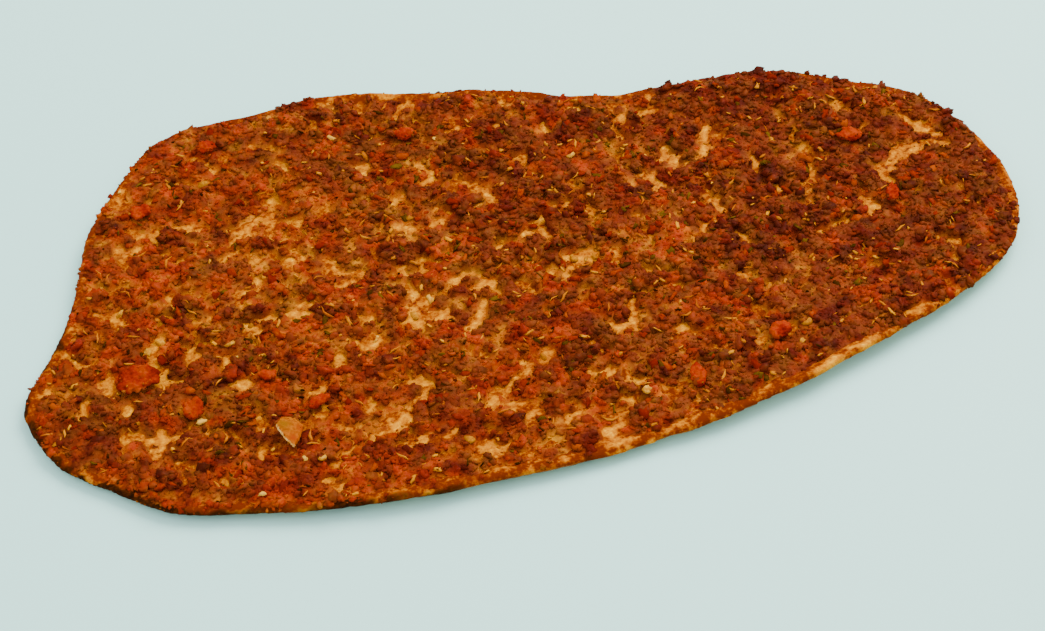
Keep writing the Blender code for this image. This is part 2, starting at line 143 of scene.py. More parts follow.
def wire(material, value, socket):
    # a socket is linked, anything else is set as a plain value
    if isinstance(value, bpy.types.NodeSocket):
        material.node_tree.links.new(value, socket)
    else:
        socket.default_value = value


def noise(material, scale, detail=4.0, rough=0.6, distortion=0.0):
    where = node(material, "TexCoord").outputs["Object"]
    made = node(material, "TexNoise", {"Vector": where, "Scale": scale, "Detail": detail,
                                       "Roughness": rough, "Distortion": distortion})
    return made.outputs[0]


def ramp(material, value, stops):
    # each stop is a place and a colour in thousandths
    made = node(material, "ValToRGB", {"Fac": value})
    bar = made.color_ramp
    while len(bar.elements) < len(stops):
        bar.elements.new(0.5)
    for element, (place, colour) in zip(bar.elements, stops):
        element.position = place
        element.color = paint(*colour)
    return made.outputs[0]


def plus(material, a, b, clamp=False):
    return node(material, "Math", {0: a, 1: b}, operation="ADD", use_clamp=clamp).outputs[0]


def less(material, a, b):
    return node(material, "Math", {0: a, 1: b}, operation="SUBTRACT").outputs[0]


def times(material, a, b):
    return node(material, "Math", {0: a, 1: b}, operation="MULTIPLY").outputs[0]


def between(material, value, low, high, newLow=0.0, newHigh=1.0):
    made = node(material, "MapRange", {"Value": value, "From Min": low, "From Max": high,
                                       "To Min": newLow, "To Max": newHigh}, clamp=True)
    return made.outputs[0]


def blendColour(material, share, a, b):
    made = node(material, "Mix", data_type="RGBA")
    wire(material, share, made.inputs["Factor"])
    wire(material, a, made.inputs[6])
    wire(material, b, made.inputs[7])
    return made.outputs[2]


def attribute(material, name):
    return node(material, "Attribute", attribute_name=name).outputs["Fac"]


def bump(material, height, strength, distance):
    return node(material, "Bump", {"Height": height, "Strength": strength, "Distance": distance}).outputs[0]


def finishShader(material, colour, roughness, bumps, sheen):
    face = material.node_tree.nodes["Principled BSDF"].inputs
    wire(material, colour, face["Base Color"])
    wire(material, roughness, face["Roughness"])
    wire(material, bumps, face["Normal"])
    wire(material, sheen, face["Specular IOR Level"])
    return material


floorShader = newShader("floor_finish")
floorFace = floorShader.node_tree.nodes["Principled BSDF"].inputs
floorFace["Base Color"].default_value = paint(*stage["floorColour"])
floorFace["Roughness"].default_value = stage["floorRoughness"]
floor.data.materials.append(floorShader)

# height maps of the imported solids, which all pieces follow
heights = {
    "step": 1.0 * mm, "stepsX": 182, "stepsY": 107,    # the net's spacing and half its size
    "over": 0.05, "under": -0.02,              # where the rays start
    "spread": 14,                              # cells that each map is carried on past its edge
    "breadBlur": 3.0 * mm, "toppingBlur": 0.9 * mm,
}
fieldStep = heights["step"]
fieldX = np.arange(-heights["stepsX"], heights["stepsX"] + 1) * fieldStep
fieldY = np.arange(-heights["stepsY"], heights["stepsY"] + 1) * fieldStep
gridX, gridY = np.meshgrid(fieldX, fieldY)


def treeOf(name):
    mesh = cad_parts[name].data
    corners = [tuple(v.co) for v in mesh.vertices]
    return BVHTree.FromPolygons(corners, [tuple(p.vertices) for p in mesh.polygons])


def castField(tree, fromAbove):
    start = heights["over"] if fromAbove else heights["under"]
    way = Vector((0, 0, -1 if fromAbove else 1))
    found = np.full(gridX.shape, np.nan)
    for j, y in enumerate(fieldY):
        for i, x in enumerate(fieldX):
            hit = tree.ray_cast(Vector((x, y, start)), way)[0]
            if hit:
                found[j, i] = hit.z
    return found


def shifted(field, dx, dy):
    return np.roll(np.roll(field, dx, axis=1), dy, axis=0)


def spreadOut(field):
    # fills the empty cells round the solid from their neighbours
    field = field.copy()
    for _ in range(heights["spread"]):
        near = np.array([shifted(field, dx, dy) for dx in (-1, 0, 1) for dy in (-1, 0, 1)])
        known = ~np.isnan(near)
        mean = np.where(known, near, 0).sum(0) / np.maximum(known.sum(0), 1)
        field = np.where(np.isnan(field) & known.any(0), mean, field)
    return np.where(np.isnan(field), 0, field)


def blurred(field, sigma):
    reach = int(math.ceil(3 * sigma / fieldStep))
    cells = range(-reach, reach + 1)
    weights = np.exp(-0.5 * (np.arange(-reach, reach + 1) * fieldStep / sigma) ** 2)
    weights /= weights.sum()
    for axis in (0, 1):
        field = sum(w * np.roll(field, k, axis=axis) for w, k in zip(weights, cells))
    return field


def edgeDistance(mask):
    # metres to the mask's edge, more than nought inside
    inner = shifted(mask, 1, 0) & shifted(mask, -1, 0) & shifted(mask, 0, 1) & shifted(mask, 0, -1)
    spots = np.argwhere(mask & ~inner)
    tree = KDTree(len(spots))
    for k, (j, i) in enumerate(spots):
        tree.insert((fieldX[i], fieldY[j], 0), k)
    tree.balance()
    away = np.array([tree.find((x, y, 0))[2] for x, y in zip(gridX.ravel(), gridY.ravel())])
    away = away.reshape(mask.shape)
    return np.where(mask, away + fieldStep / 2, -away + fieldStep / 2)


def sample(field, x, y):
    u = np.clip((np.asarray(x) - fieldX[0]) / fieldStep, 0, len(fieldX) - 1.001)
    v = np.clip((np.asarray(y) - fieldY[0]) / fieldStep, 0, len(fieldY) - 1.001)
    i, j = u.astype(int), v.astype(int)
    fu, fv = u - i, v - j
    return ((field[j, i] * (1 - fu) + field[j, i + 1] * fu) * (1 - fv)
            + (field[j + 1, i] * (1 - fu) + field[j + 1, i + 1] * fu) * fv)


# how the soft noise is made: cells of random numbers, where each one starts in them, and how
# much weaker each finer layer is
cloud = {"cells": 64, "startX": 31.7, "startY": 17.3, "finer": 0.55, "gain": 1.5}


def softNoise(x, y, size, seed, octaves=1):
    # smooth noise of about -1 to 1 with lumps of the given size
    total, weight, sumWeight = 0, 1.0, 0
    count = cloud["cells"]
    for octave in range(octaves):
        cells = np.random.default_rng(seed * 31 + octave).uniform(-1, 1, (count, count))
        u = np.asarray(x) / size + cloud["startX"] * (seed % 5)
        v = np.asarray(y) / size + cloud["startY"] * (seed % 7)
        i, j = np.floor(u).astype(int), np.floor(v).astype(int)
        fu, fv = u - i, v - j
        fu, fv = fu * fu * (3 - 2 * fu), fv * fv * (3 - 2 * fv)
        i, j, i1, j1 = i % count, j % count, (i + 1) % count, (j + 1) % count
        total = total + weight * ((cells[j, i] * (1 - fu) + cells[j, i1] * fu) * (1 - fv)
                                  + (cells[j1, i] * (1 - fu) + cells[j1, i1] * fu) * fv)
        sumWeight += weight
        size, weight = size / 2, weight * cloud["finer"]
    return total / sumWeight * cloud["gain"]


def wave(x, y, look, seed, octaves=1):
    # soft noise of a (height, size)
    height, size = look
    return height * softNoise(x, y, size, seed, octaves)


def smoothStep(value, low, high):
    t = np.clip((value - low) / (high - low), 0, 1)
    return t * t * (3 - 2 * t)


def bell(way, middle, spread):
    # 1 in one direction, in degrees, and less to both sides of it
    off = (way - middle + 180) % 360 - 180
    return np.exp(-0.5 * (off / spread) ** 2)


print("height maps")
breadTree, toppingTree = treeOf("bread"), treeOf("meat_topping")
breadTopRaw = castField(breadTree, True)
breadUnderRaw = castField(breadTree, False)
toppingRaw = castField(toppingTree, True)
breadMask, toppingMask = ~np.isnan(breadTopRaw), ~np.isnan(toppingRaw)
breadTop = blurred(spreadOut(breadTopRaw), heights["breadBlur"])
breadUnder = blurred(spreadOut(breadUnderRaw), heights["breadBlur"])
breadEdge = edgeDistance(breadMask)
toppingEdge = edgeDistance(toppingMask)
toppingTop = blurred(spreadOut(toppingRaw), heights["toppingBlur"])

# bare spots at the rim: x, y, length, width (mm), turn (degrees)
rimSpots = [
    (48, 71.5, 37, 2.4, -17), (-25, 92.5, 32, 3, -18), (3, -95, 15, 5, -4), (76, -84, 21, 4, 20),
    (91, -79, 12, 5, 13), (22, -94, 14, 4, 9), (-27, -100, 8, 4, 0), (-16, -97, 12, 3, 24),
    (116, -69, 9, 4, 24), (55, -88, 10, 3, 25), (-37, -96, 6, 3, 0), (-160, -4, 9, 3, 46),
    (-172, -26, 12, 2, 67), (-173, -39, 15, 2, -77), (-108, 92, 7, 4, 39), (173, -17, 12, 2, 81),
]
# crooked gaps in the meat, which show the bread: x and y of both ends, width (mm)
gaps = [
    (-125, 69, -127, 60, 2.2), (-127, 47, -121, 43, 1.8), (-118, 46, -119, 39, 2.0),
    (-124, 38, -129, 36, 2.6), (-110, 46, -105, 46, 1.6), (-101, 45, -100, 45, 2.2),
    (-93, 39, -92, 39, 2.0), (-83, 44, -78, 40, 2.2), (-78, 40, -80, 34, 2.0), (-99, 26, -92, 29, 2.2),
    (-92, 25, -87, 25, 1.6), (-88, 14, -91, 8, 2.2), (-91, 8, -96, 8, 2.4), (-75, 25, -72, 20, 1.8),
    (-65, 11, -55, 6, 2.6), (-64, 2, -58, 4, 1.5), (-34, 92, -34, 87, 2.2), (-94, 75, -92, 71, 2.0),
    (-104, 68, -101, 66, 1.5), (-76, 81, -69, 77, 1.6), (-119, 13, -119, 11, 2.4),
    (-138, 17, -136, 19, 2.0), (-23, 79, -21, 85, 1.6), (-21, 85, -17, 87, 1.6), (-17, 87, -15, 84, 1.8),
    (-17, 79, -15, 75, 1.6), (-8, 68, -2, 68, 1.8), (-22, 56, -19, 51, 2.2), (-19, 51, -20, 45, 2.4),
    (-20, 45, -24, 46, 2.0), (-22, 30, -16, 27, 2.0), (-4, 34, -1, 28, 2.2), (-41, 27, -36, 25, 2.4),
    (-36, 25, -33, 22, 2.0), (11, 47, 16, 50, 1.8), (16, 50, 14, 42, 1.6), (27, 62, 27, 57, 1.8),
    (16, 38, 17, 32, 1.8), (28, 25, 30, 21, 1.5), (30, 18, 29, 12, 1.8), (17, 20, 19, 16, 2.0),
    (2, 10, 6, 8, 2.0), (-7, 6, -5, 8, 1.6), (-41, 6, -41, 1, 2.6), (-41, 1, -35, 1, 2.4),
    (-35, 1, -35, 8, 2.0), (-35, 8, -27, 4, 2.0), (-24, 8, -21, 9, 1.8), (6, -10, 6, -15, 2.4),
    (6, -15, 12, -16, 1.5), (14, -7, 23, -10, 2.2), (31, -7, 29, -16, 1.6), (52, 55, 51, 48, 2.4),
    (56, 52, 57, 50, 2.0), (65, 37, 62, 32, 2.2), (56, 25, 58, 20, 2.2), (58, 20, 54, 17, 2.0),
    (42, 7, 45, 7, 2.0), (44, -2, 44, -10, 1.8), (-41, -4, -40, -10, 2.4), (-39, -14, -34, -13, 2.0),
    (-21, -12, -13, -10, 2.2), (-13, -10, -14, -18, 2.2), (-6, -13, -1, -20, 1.6), (83, 43, 77, 31, 2.6),
    (93, 25, 92, 16, 1.8), (139, 4, 143, 11, 2.4), (143, 11, 153, 11, 1.9), (153, 11, 160, 7, 2.0),
    (150, 28, 153, 19, 1.4), (153, 19, 160, 12, 1.4), (133, 0, 135, -4, 2.4), (114, 24, 110, 7, 0.9),
    (110, 7, 104, 7, 1.2), (100, -20, 112, -17, 1.4), (65, -5, 63, -8, 2.4), (60, -9, 57, -10, 1.8),
    (-137, 10, -137, 4, 3.2), (-154, -9, -158, -3, 2.4), (-131, -10, -126, -7, 3.0),
    (-144, -17, -147, -26, 2.2), (-155, -31, -153, -28, 2.0), (-110, -25, -106, -20, 2.4),
    (-137, -49, -133, -50, 3.0), (-133, -50, -137, -58, 3.2), (-131, -62, -127, -65, 2.0),
    (-112, -56, -110, -60, 1.8), (-105, -64, -105, -68, 2.2), (-119, -74, -119, -76, 2.2),
    (-84, -78, -80, -73, 2.4), (-80, -73, -76, -72, 2.2), (-79, -60, -76, -63, 2.6),
    (-97, -8, -93, -12, 2.0), (-72, -29, -72, -33, 3.0), (-80, -2, -76, -3, 1.8),
    (-65, -25, -62, -29, 2.4), (-62, -29, -58, -27, 3.0), (-42, -16, -44, -23, 4.0),
    (-39, -14, -35, -14, 1.8), (-27, -29, -23, -26, 3.0), (-23, -26, -18, -18, 2.0),
    (-30, -41, -29, -40, 2.4), (-26, -42, -26, -43, 2.4), (-40, -49, -39, -50, 2.2),
    (-67, -51, -68, -58, 2.4), (-31, -66, -29, -64, 2.4), (-27, -66, -20, -69, 1.8),
    (-20, -73, -16, -74, 2.8), (-21, -75, -21, -79, 1.8), (-8, -51, -6, -48, 2.8),
    (28, -33, 25, -46, 2.4), (-5, -73, -4, -74, 2.2), (1, -81, 6, -84, 2.0), (-51, -76, -44, -74, 2.0),
    (-57, -74, -55, -76, 2.6), (-35, -76, -32, -81, 1.6), (-51, -83, -50, -84, 2.4),
    (112, -29, 112, -33, 1.6), (43, -54, 48, -54, 1.3), (41, -30, 46, -32, 1.2),
    (113, -69, 120, -68, 2.6), (88, -80, 95, -79, 2.4), (76, -84, 83, -82, 2.2),
]
# reddish areas of the sauce: x, y, radius (mm)
redAreas = [
    (-73, 33, 4), (-122, 17, 7), (-30, 51, 6), (-153, 10, 5), (-60, 89, 4), (0, 63, 4), (26, 43, 4),
    (34, 34, 4), (45, 31, 3), (37, 0, 4), (-77, 51, 3), (-18, 12, 4), (-81, -13, 5), (-124, -12, 5),
    (0, -43, 6), (128, -9, 3), (99, 34, 3), (-101, 15, 4), (-142, -21, 8), (-152, -61, 6),
    (-112, -73, 5), (-39, -82, 5), (-81, -83, 4), (-28, -66, 5), (14, -32, 5), (50, -38, 4),
    (89, -30, 4), (117, -79, 3), (-127, -82, 5), (-108, -88, 5), (112, -10, 5),
]
# how the rim and the gaps are drawn; pairs are (height, size) for noise and (from, to) otherwise
rim = {
    "width": 0.6, "uneven": (1.3, 11 * mm),            # mm of bare lip
    "burntWay": 205, "burntSpread": 26, "burntMore": 0.7,      # degrees, degrees, mm
    "farWay": 48, "farSpread": 34, "farLess": 2.4,     # there the meat goes right to the edge
    "zone": 9 * mm,
}
patches = {
    "wander": (1.5 * mm, 3.5 * mm),            # all outlines stray by this
    "drawnIn": 1.5 * mm, "insideMore": 1.2, "insideFrom": (5 * mm, 10 * mm),
    "ragged": (1.1 * mm, 2.6 * mm), "gapRagged": (0.7 * mm, 2.2 * mm),
    "strewnSize": 6.5 * mm, "strewnWidth": (0.34, 9 * mm), "strewnLess": 0.04, "strewnSlope": 6 * mm,
    "farLess": 0.08, "farFrom": (-20 * mm, 100 * mm),
}
# how the meat lies on the bread
bed = {
    "clumps": (0.75, 3.6 * mm), "broadClumps": (0.45, 8 * mm), "relief": 0.65 * mm,
    "drop": 0.6 * mm, "bareDip": -0.5 * mm, "shoulder": (-0.3 * mm, 1.8 * mm),
    "thinSize": 7 * mm, "thinOnClumps": 0.45, "thinFrom": (0.6, 1.3), "thinLess": 0.45,
    "thinAtGap": 0.75, "gapSide": (-0.2 * mm, 1.0 * mm),
    "threadSize": 5 * mm, "threadWidth": 0.14, "threadSoft": 0.13, "threadShare": 0.95,
    "threadPlaces": 12 * mm, "threadFrom": (-0.1, 0.4), "threadLess": 0.25, "lessTo": 120 * mm,
    "sauceSide": (0.3 * mm, 3.2 * mm), "sauceShare": 0.45, "sauceUneven": (0.9, 4 * mm),
    "step": 1.05 * mm, "under": 0.9 * mm, "leastThickness": 0.3 * mm,      # of the mesh
    "edgeRoom": 0.8 * mm, "gapRoom": -1.2 * mm, "netLength": 352 * mm, "netWidth": 203 * mm,
    "leanLeast": 0.04, "leanMore": 0.9, "bumpHeight": 1.0 * mm,
}

print("bare patches")
warpX = gridX + wave(gridX, gridY, patches["wander"], 3, 3)
warpY = gridY + wave(gridX, gridY, patches["wander"], 4, 3)
bearing = np.degrees(np.arctan2(gridY, gridX)) % 360
rimInset = (rim["width"] + rim["burntMore"] * bell(bearing, rim["burntWay"], rim["burntSpread"])
            - rim["farLess"] * bell(bearing, rim["farWay"], rim["farSpread"])
            + wave(gridX, gridY, rim["uneven"], 7, 3)) * mm
inside = smoothStep(breadEdge, *patches["insideFrom"])
holeEdge = sample(toppingEdge, warpX, warpY) + patches["drawnIn"] * (1 + patches["insideMore"] * inside)
cover = np.where(breadEdge < rim["zone"], np.maximum(holeEdge, breadEdge - rimInset), holeEdge)
cover = cover + wave(gridX, gridY, patches["ragged"], 5, 3)
for x, y, length, width, turn in rimSpots:
    c, s = math.cos(math.radians(turn)), math.sin(math.radians(turn))
    dx, dy = warpX - x * mm, warpY - y * mm
    u, v = (dx * c + dy * s) / (length / 2 * mm), (dy * c - dx * s) / (width / 2 * mm)
    cover = np.minimum(cover, (np.hypot(u, v) - 1) * width / 2 * mm)
gapRagged = wave(gridX, gridY, patches["gapRagged"], 19, 2)
for x, y, x2, y2, width in gaps:
    dx, dy, lengthX, lengthY = warpX - x * mm, warpY - y * mm, (x2 - x) * mm, (y2 - y) * mm
    along = np.clip((dx * lengthX + dy * lengthY) / (lengthX ** 2 + lengthY ** 2), 0, 1)
    apart = np.hypot(dx - along * lengthX, dy - along * lengthY)
    cover = np.minimum(cover, apart - width * 0.5 * mm + gapRagged)
# and a few more of the same kind at random
ridge = np.abs(softNoise(warpX, warpY, patches["strewnSize"], 15, 2))
gapWidth = wave(gridX, gridY, patches["strewnWidth"], 16, 2) - patches["strewnLess"]
gapWidth = gapWidth - patches["farLess"] * smoothStep(gridX + gridY, *patches["farFrom"])
cover = np.minimum(cover, (ridge - gapWidth) * patches["strewnSlope"])
# the clumps stand up in brown; in the hollows the oily bread shows through the thin meat in orange
clump = wave(gridX, gridY, bed["clumps"], 6, 2) + wave(gridX, gridY, bed["broadClumps"], 18, 2)
thin = softNoise(gridX, gridY, bed["thinSize"], 9, 3) - bed["thinOnClumps"] * clump
thin = smoothStep(thin, *bed["thinFrom"])
thin = np.maximum(thin, bed["thinAtGap"] * (1 - smoothStep(cover, *bed["gapSide"])))
# crooked threads where the oily bread nearly shows
thread = bed["threadWidth"] - np.abs(softNoise(warpX, warpY, bed["threadSize"], 22, 2))
thread = smoothStep(thread, 0.0, bed["threadSoft"])
threadPlaces = softNoise(gridX, gridY, bed["threadPlaces"], 23, 2)
threadPlaces = threadPlaces - bed["threadLess"] * smoothStep(gridX, 0, bed["lessTo"])
thin = np.maximum(thin, bed["threadShare"] * (thread * smoothStep(threadPlaces, *bed["threadFrom"])))
# sauce round the gaps
sauce = np.clip(bed["sauceShare"] + wave(gridX, gridY, bed["sauceUneven"], 20, 2), 0, 1)
sauce = (1 - smoothStep(cover, *bed["sauceSide"])) * sauce
thick = smoothStep(cover, *bed["shoulder"]) * (1 - bed["thinLess"] * thin)
bedTop = (breadTop + bed["bareDip"]) * (1 - thick) + (toppingTop - bed["drop"]) * thick
bedTop = bedTop + thick * bed["relief"] * clump

# the bread; pairs are (height, size) for noise and (from, to) otherwise
bread = {
    "voxel": 1.25 * mm, "smoothRounds": 5,
    "blister": (0.8 * mm, 7 * mm), "grain": (0.3 * mm, 2.2 * mm),
    "topFrom": (-0.9 * mm, -0.1 * mm), "lipTo": (0.3 * mm, 2.2 * mm),
    # burnt on one side, in degrees round the edge, and from the lip inwards
    "charWay": 205, "charSpread": 30, "charMore": 0.8, "char": 0.26, "charUneven": (0.25, 9 * mm),
    "charTop": (0.8 * mm, 3.8 * mm), "charUnder": (1 * mm, 6 * mm), "charStray": (1.7 * mm, 4 * mm),
    "topLess": 0.15,
    # brightest at the lip on the near right and in the gaps, less so in the near ones
    "brightWay": 322, "brightSpread": 20, "brightMore": 0.6, "brightUneven": (0.8, 6 * mm),
    "brightZone": 6 * mm, "innerFrom": (4 * mm, 7 * mm), "nearLess": 0.5, "nearFrom": (20 * mm, 80 * mm),
    # darker where the meat touches it
    "stainUneven": (0.5 * mm, 1.5 * mm), "stainFrom": (-1.3 * mm, 0.2 * mm),
    # colours in thousandths, and for each noise its scale, detail and roughness
    "fine": (650, 5, 0.68), "broad": (120, 4, 0.6), "broadShare": 0.5,
    "stainLess": 0.3, "less": 0.165, "brightShare": 0.15,
    "oily": [(0.30, (120, 14, 0)), (0.39, (215, 36, 0)), (0.47, (315, 75, 0)), (0.55, (405, 120, 0)),
             (0.64, (495, 160, 0)), (0.77, (640, 250, 0)), (0.90, (800, 400, 30))],
    "dry": [(0.3, (420, 200, 70)), (0.55, (560, 330, 140)), (0.75, (700, 480, 240))],
    "spots": (150, 5, 0.62), "spotStops": [(0.50, (0, 0, 0)), (0.66, (1000, 1000, 1000))],
    "spotShare": 0.85, "spotColour": (120, 40, 10),
    # the lower wall and underside at the edge: toasted brown, and darkened further as painted shade under the
    # lifted edge
    "sideFrom": (0.35, 0.95), "lipDark": (130, 24, 1), "lipBright": (280, 66, 0),
    "lipFrom": (0.3, 0.6), "lipLeast": 0.4,
    "burntUneven": 0.9, "burntFrom": (0.42, 0.72), "black": [(0.4, (14, 4, 1)), (0.62, (58, 12, 1))],
    "rough": (0.75, 0.5), "sheen": 0.008,
    "bumps": (1300, 5, 0.7), "bumpShare": 0.5, "bumpHeight": 0.4 * mm,
}


def finishPiece(piece, name, shader):
    piece.name = name
    piece.data.name = name
    piece.data.materials.clear()
    piece.data.materials.append(shader)
    piece.data.polygons.foreach_set("use_smooth", [True] * len(piece.data.polygons))
    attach(piece, "root")
    faces = sum(len(p.vertices) - 2 for p in piece.data.polygons)
    print(" ", name, faces, "triangles")


def coordinates(mesh):
    flat = np.empty(len(mesh.vertices) * 3)
    mesh.vertices.foreach_get("co", flat)
    return flat.reshape(-1, 3)


def setCoordinates(mesh, points):
    mesh.vertices.foreach_set("co", np.ascontiguousarray(points).ravel())
    mesh.update()


def setAttribute(mesh, name, values):
    layer = mesh.attributes.new(name, "FLOAT", "POINT")
    layer.data.foreach_set("value", np.ascontiguousarray(values, dtype=np.float32))


def editAll():
    bpy.ops.object.mode_set(mode="EDIT")
    bpy.ops.mesh.select_all(action="SELECT")


def mergedCopy(name):
    # a copy of a solid with its loose triangles joined up
    nothingSelected()
    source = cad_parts[name]
    copy = bpy.data.objects.new(name + "_copy", source.data.copy())
    bpy.context.collection.objects.link(copy)
    bpy.context.view_layer.objects.active = copy
    copy.select_set(True)
    editAll()
    bpy.ops.mesh.remove_doubles(threshold=0.00001)
    bpy.ops.object.mode_set(mode="OBJECT")
    return copy


def remeshed(piece, voxel, rounds, waves):
    # evens the mesh out, rounds it, then roughens it with each wave of (height, size)
    net = piece.modifiers.new("net", "REMESH")
    net.mode, net.voxel_size = "VOXEL", voxel
    bpy.ops.object.modifier_apply(modifier="net")
    soft = piece.modifiers.new("soft", "SMOOTH")
    soft.factor, soft.iterations = 0.5, rounds
    bpy.ops.object.modifier_apply(modifier="soft")
    for k, (height, size) in enumerate(waves):
        texture = bpy.data.textures.new("%s_wave_%d" % (piece.name, k), "CLOUDS")
        texture.noise_scale = size
        rough = piece.modifiers.new("rough", "DISPLACE")
        rough.texture, rough.texture_coords = texture, "LOCAL"
        rough.strength, rough.mid_level = height, 0.5
        bpy.ops.object.modifier_apply(modifier="rough")


def crustShader():
    look = bread
    shader = newShader("baked_crust")
    top = attribute(shader, "topSide")
    bright = attribute(shader, "bright")
    fine = noise(shader, *look["fine"])
    broad = noise(shader, *look["broad"])
    level = plus(shader, fine, times(shader, broad, look["broadShare"]))
    dull = plus(shader, times(shader, attribute(shader, "stain"), look["stainLess"]), look["less"])
    level = less(shader, level, dull)
    level = plus(shader, level, times(shader, bright, look["brightShare"]))
    oily = ramp(shader, level, look["oily"])
    dry = ramp(shader, broad, look["dry"])
    spots = ramp(shader, noise(shader, *look["spots"]), look["spotStops"])
    dry = blendColour(shader, times(shader, spots, look["spotShare"]), dry, paint(*look["spotColour"]))
    base = blendColour(shader, top, dry, oily)
    # near the edge the lower wall and underside take a darker toasted colour, which is partly real toasting
    # and partly painted shade under the lip
    side = times(shader, attribute(shader, "rim"), between(shader, top, *look["sideFrom"], 1.0, 0.0))
    toastedAndShaded = blendColour(shader, bright, paint(*look["lipDark"]), paint(*look["lipBright"]))
    patchy = times(shader, side, between(shader, fine, *look["lipFrom"], look["lipLeast"], 1.0))
    lip = blendColour(shader, patchy, base, toastedAndShaded)
    uneven = times(shader, less(shader, fine, 0.5), look["burntUneven"])
    burnt = between(shader, plus(shader, attribute(shader, "char"), uneven), *look["burntFrom"])
    colour = blendColour(shader, burnt, lip, ramp(shader, fine, look["black"]))
    roughness = between(shader, top, 0, 1, *look["rough"])
    bumps = bump(shader, noise(shader, *look["bumps"]), look["bumpShare"], look["bumpHeight"])
    return finishShader(shader, colour, roughness, bumps, look["sheen"])


print("bread")
crust = mergedCopy("bread")
remeshed(crust, bread["voxel"], bread["smoothRounds"], [bread["blister"], bread["grain"]])
points = coordinates(crust.data)
points[:, 2] = np.maximum(points[:, 2], 0.0)
setCoordinates(crust.data, points)
x, y, z = points.T
middle = (sample(breadTop, x, y) + sample(breadUnder, x, y)) / 2
edge = sample(breadEdge, x, y)
topSide = smoothStep(z - middle, *bread["topFrom"])
bearing = np.degrees(np.arctan2(y, x)) % 360
burning = bread["char"] + bread["charMore"] * bell(bearing, bread["charWay"], bread["charSpread"])
burning = burning + wave(x, y, bread["charUneven"], 8, 2)
inward = edge + wave(x, y, bread["charStray"], 51, 2)
outer = 1 - np.where(z < middle, smoothStep(edge, *bread["charUnder"]), smoothStep(inward, *bread["charTop"]))
bright = bread["brightMore"] * bell(bearing, bread["brightWay"], bread["brightSpread"])
bright = bright + wave(x, y, bread["brightUneven"], 52, 2)
bright = np.where(edge < bread["brightZone"], bright, 0)
nearShare = 1 - bread["nearLess"] * smoothStep(-y, *bread["nearFrom"])
bright = bright + smoothStep(edge, *bread["innerFrom"]) * nearShare
stain = sample(cover, x, y) + wave(x, y, bread["stainUneven"], 53, 2)
setAttribute(crust.data, "topSide", topSide)
setAttribute(crust.data, "bright", np.clip(bright, 0, 1))
setAttribute(crust.data, "stain", smoothStep(stain, *bread["stainFrom"]))
setAttribute(crust.data, "rim", 1 - smoothStep(edge, *bread["lipTo"]))
setAttribute(crust.data, "char", np.clip(burning * outer * (1 - bread["topLess"] * topSide), 0, 1))
finishPiece(crust, "bread_crust", crustShader())
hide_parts("bread")

# the meat's colours in thousandths for four kinds of place; its noises are as on the bread, and the
# first one is also a little distorted
meatLook = {
    "fine": (620, 4, 0.6, 0.4), "coarse": (230, 3, 0.6),
    "fineShare": 0.34, "coarseShare": 0.72, "toneShare": 0.42,
    "brown": [(0.34, (62, 4, 0)), (0.46, (103, 12, 1)), (0.57, (130, 18, 2)), (0.70, (160, 26, 3)),
              (0.86, (240, 52, 3))],
    "olive": [(0.34, (42, 4, 0)), (0.46, (76, 13, 1)), (0.57, (102, 21, 2)), (0.70, (134, 32, 3)),
              (0.86, (205, 60, 3))],
    "red": [(0.34, (115, 5, 0)), (0.46, (180, 10, 0)), (0.58, (250, 17, 0)), (0.71, (320, 31, 0)),
            (0.86, (400, 76, 0))],
    "bare": [(0.34, (150, 20, 0)), (0.45, (240, 48, 0)), (0.55, (335, 88, 0)), (0.66, (430, 136, 0)),
             (0.80, (560, 225, 3))],
    "olivePlaces": (120, 3, 0.55), "oliveFrom": (0.45, 0.58),
    "warmPlaces": (170, 2, 0.5), "warmFrom": (0.4, 0.66), "warmChange": (-0.35, 0.35),
    "roughFrom": (0.35, 0.65), "rough": (0.75, 0.5), "sheen": 0.045,
    "bumps": (800, 4, 0.6), "bumpShare": 0.55,
}
# slow changes of tone, from dark to light, and of redness
mood = {
    "tone": 0.59, "toneBroad": (0.16, 22 * mm), "toneFine": (0.36, 5 * mm), "toneOnClumps": 0.14,
    "farLess": 0.2, "farFrom": (-30 * mm, 110 * mm), "nearLess": 0.12, "nearFrom": (10 * mm, 70 * mm),
    "warm": 0.24, "warmMore": 0.8, "warmSize": 5.5 * mm, "warmFrom": (0.3, 0.7),
    "warmBroad": (0.2, 26 * mm), "coolLess": 0.4, "coolSkew": 0.6, "coolFrom": (-60 * mm, 90 * mm),
    "sauceWarm": 0.5, "sauceTone": 0.1, "redWarm": 0.75, "redTone": 0.14,
}


def meatShader(name, bumpHeight):
    look = meatLook
    shader = newShader(name)
    fine = noise(shader, *look["fine"])
    coarse = noise(shader, *look["coarse"])
    level = plus(shader, times(shader, fine, look["fineShare"]), times(shader, coarse, look["coarseShare"]))
    tone = less(shader, attribute(shader, "tone"), 0.5)
    level = plus(shader, level, times(shader, tone, look["toneShare"]))
    brown, olive, red, bare = [ramp(shader, level, look[key]) for key in ("brown", "olive", "red", "bare")]
    oliveShare = between(shader, noise(shader, *look["olivePlaces"]), *look["oliveFrom"])
    brown = blendColour(shader, oliveShare, brown, olive)
    change = between(shader, noise(shader, *look["warmPlaces"]), *look["warmFrom"], *look["warmChange"])
    warm = plus(shader, attribute(shader, "warm"), change, clamp=True)
    meat = blendColour(shader, warm, brown, red)
    meat = blendColour(shader, attribute(shader, "lean"), meat, bare)
    roughness = between(shader, fine, *look["roughFrom"], *look["rough"])
    bumps = bump(shader, noise(shader, *look["bumps"]), look["bumpShare"], bumpHeight)
    return finishShader(shader, meat, roughness, bumps, look["sheen"])


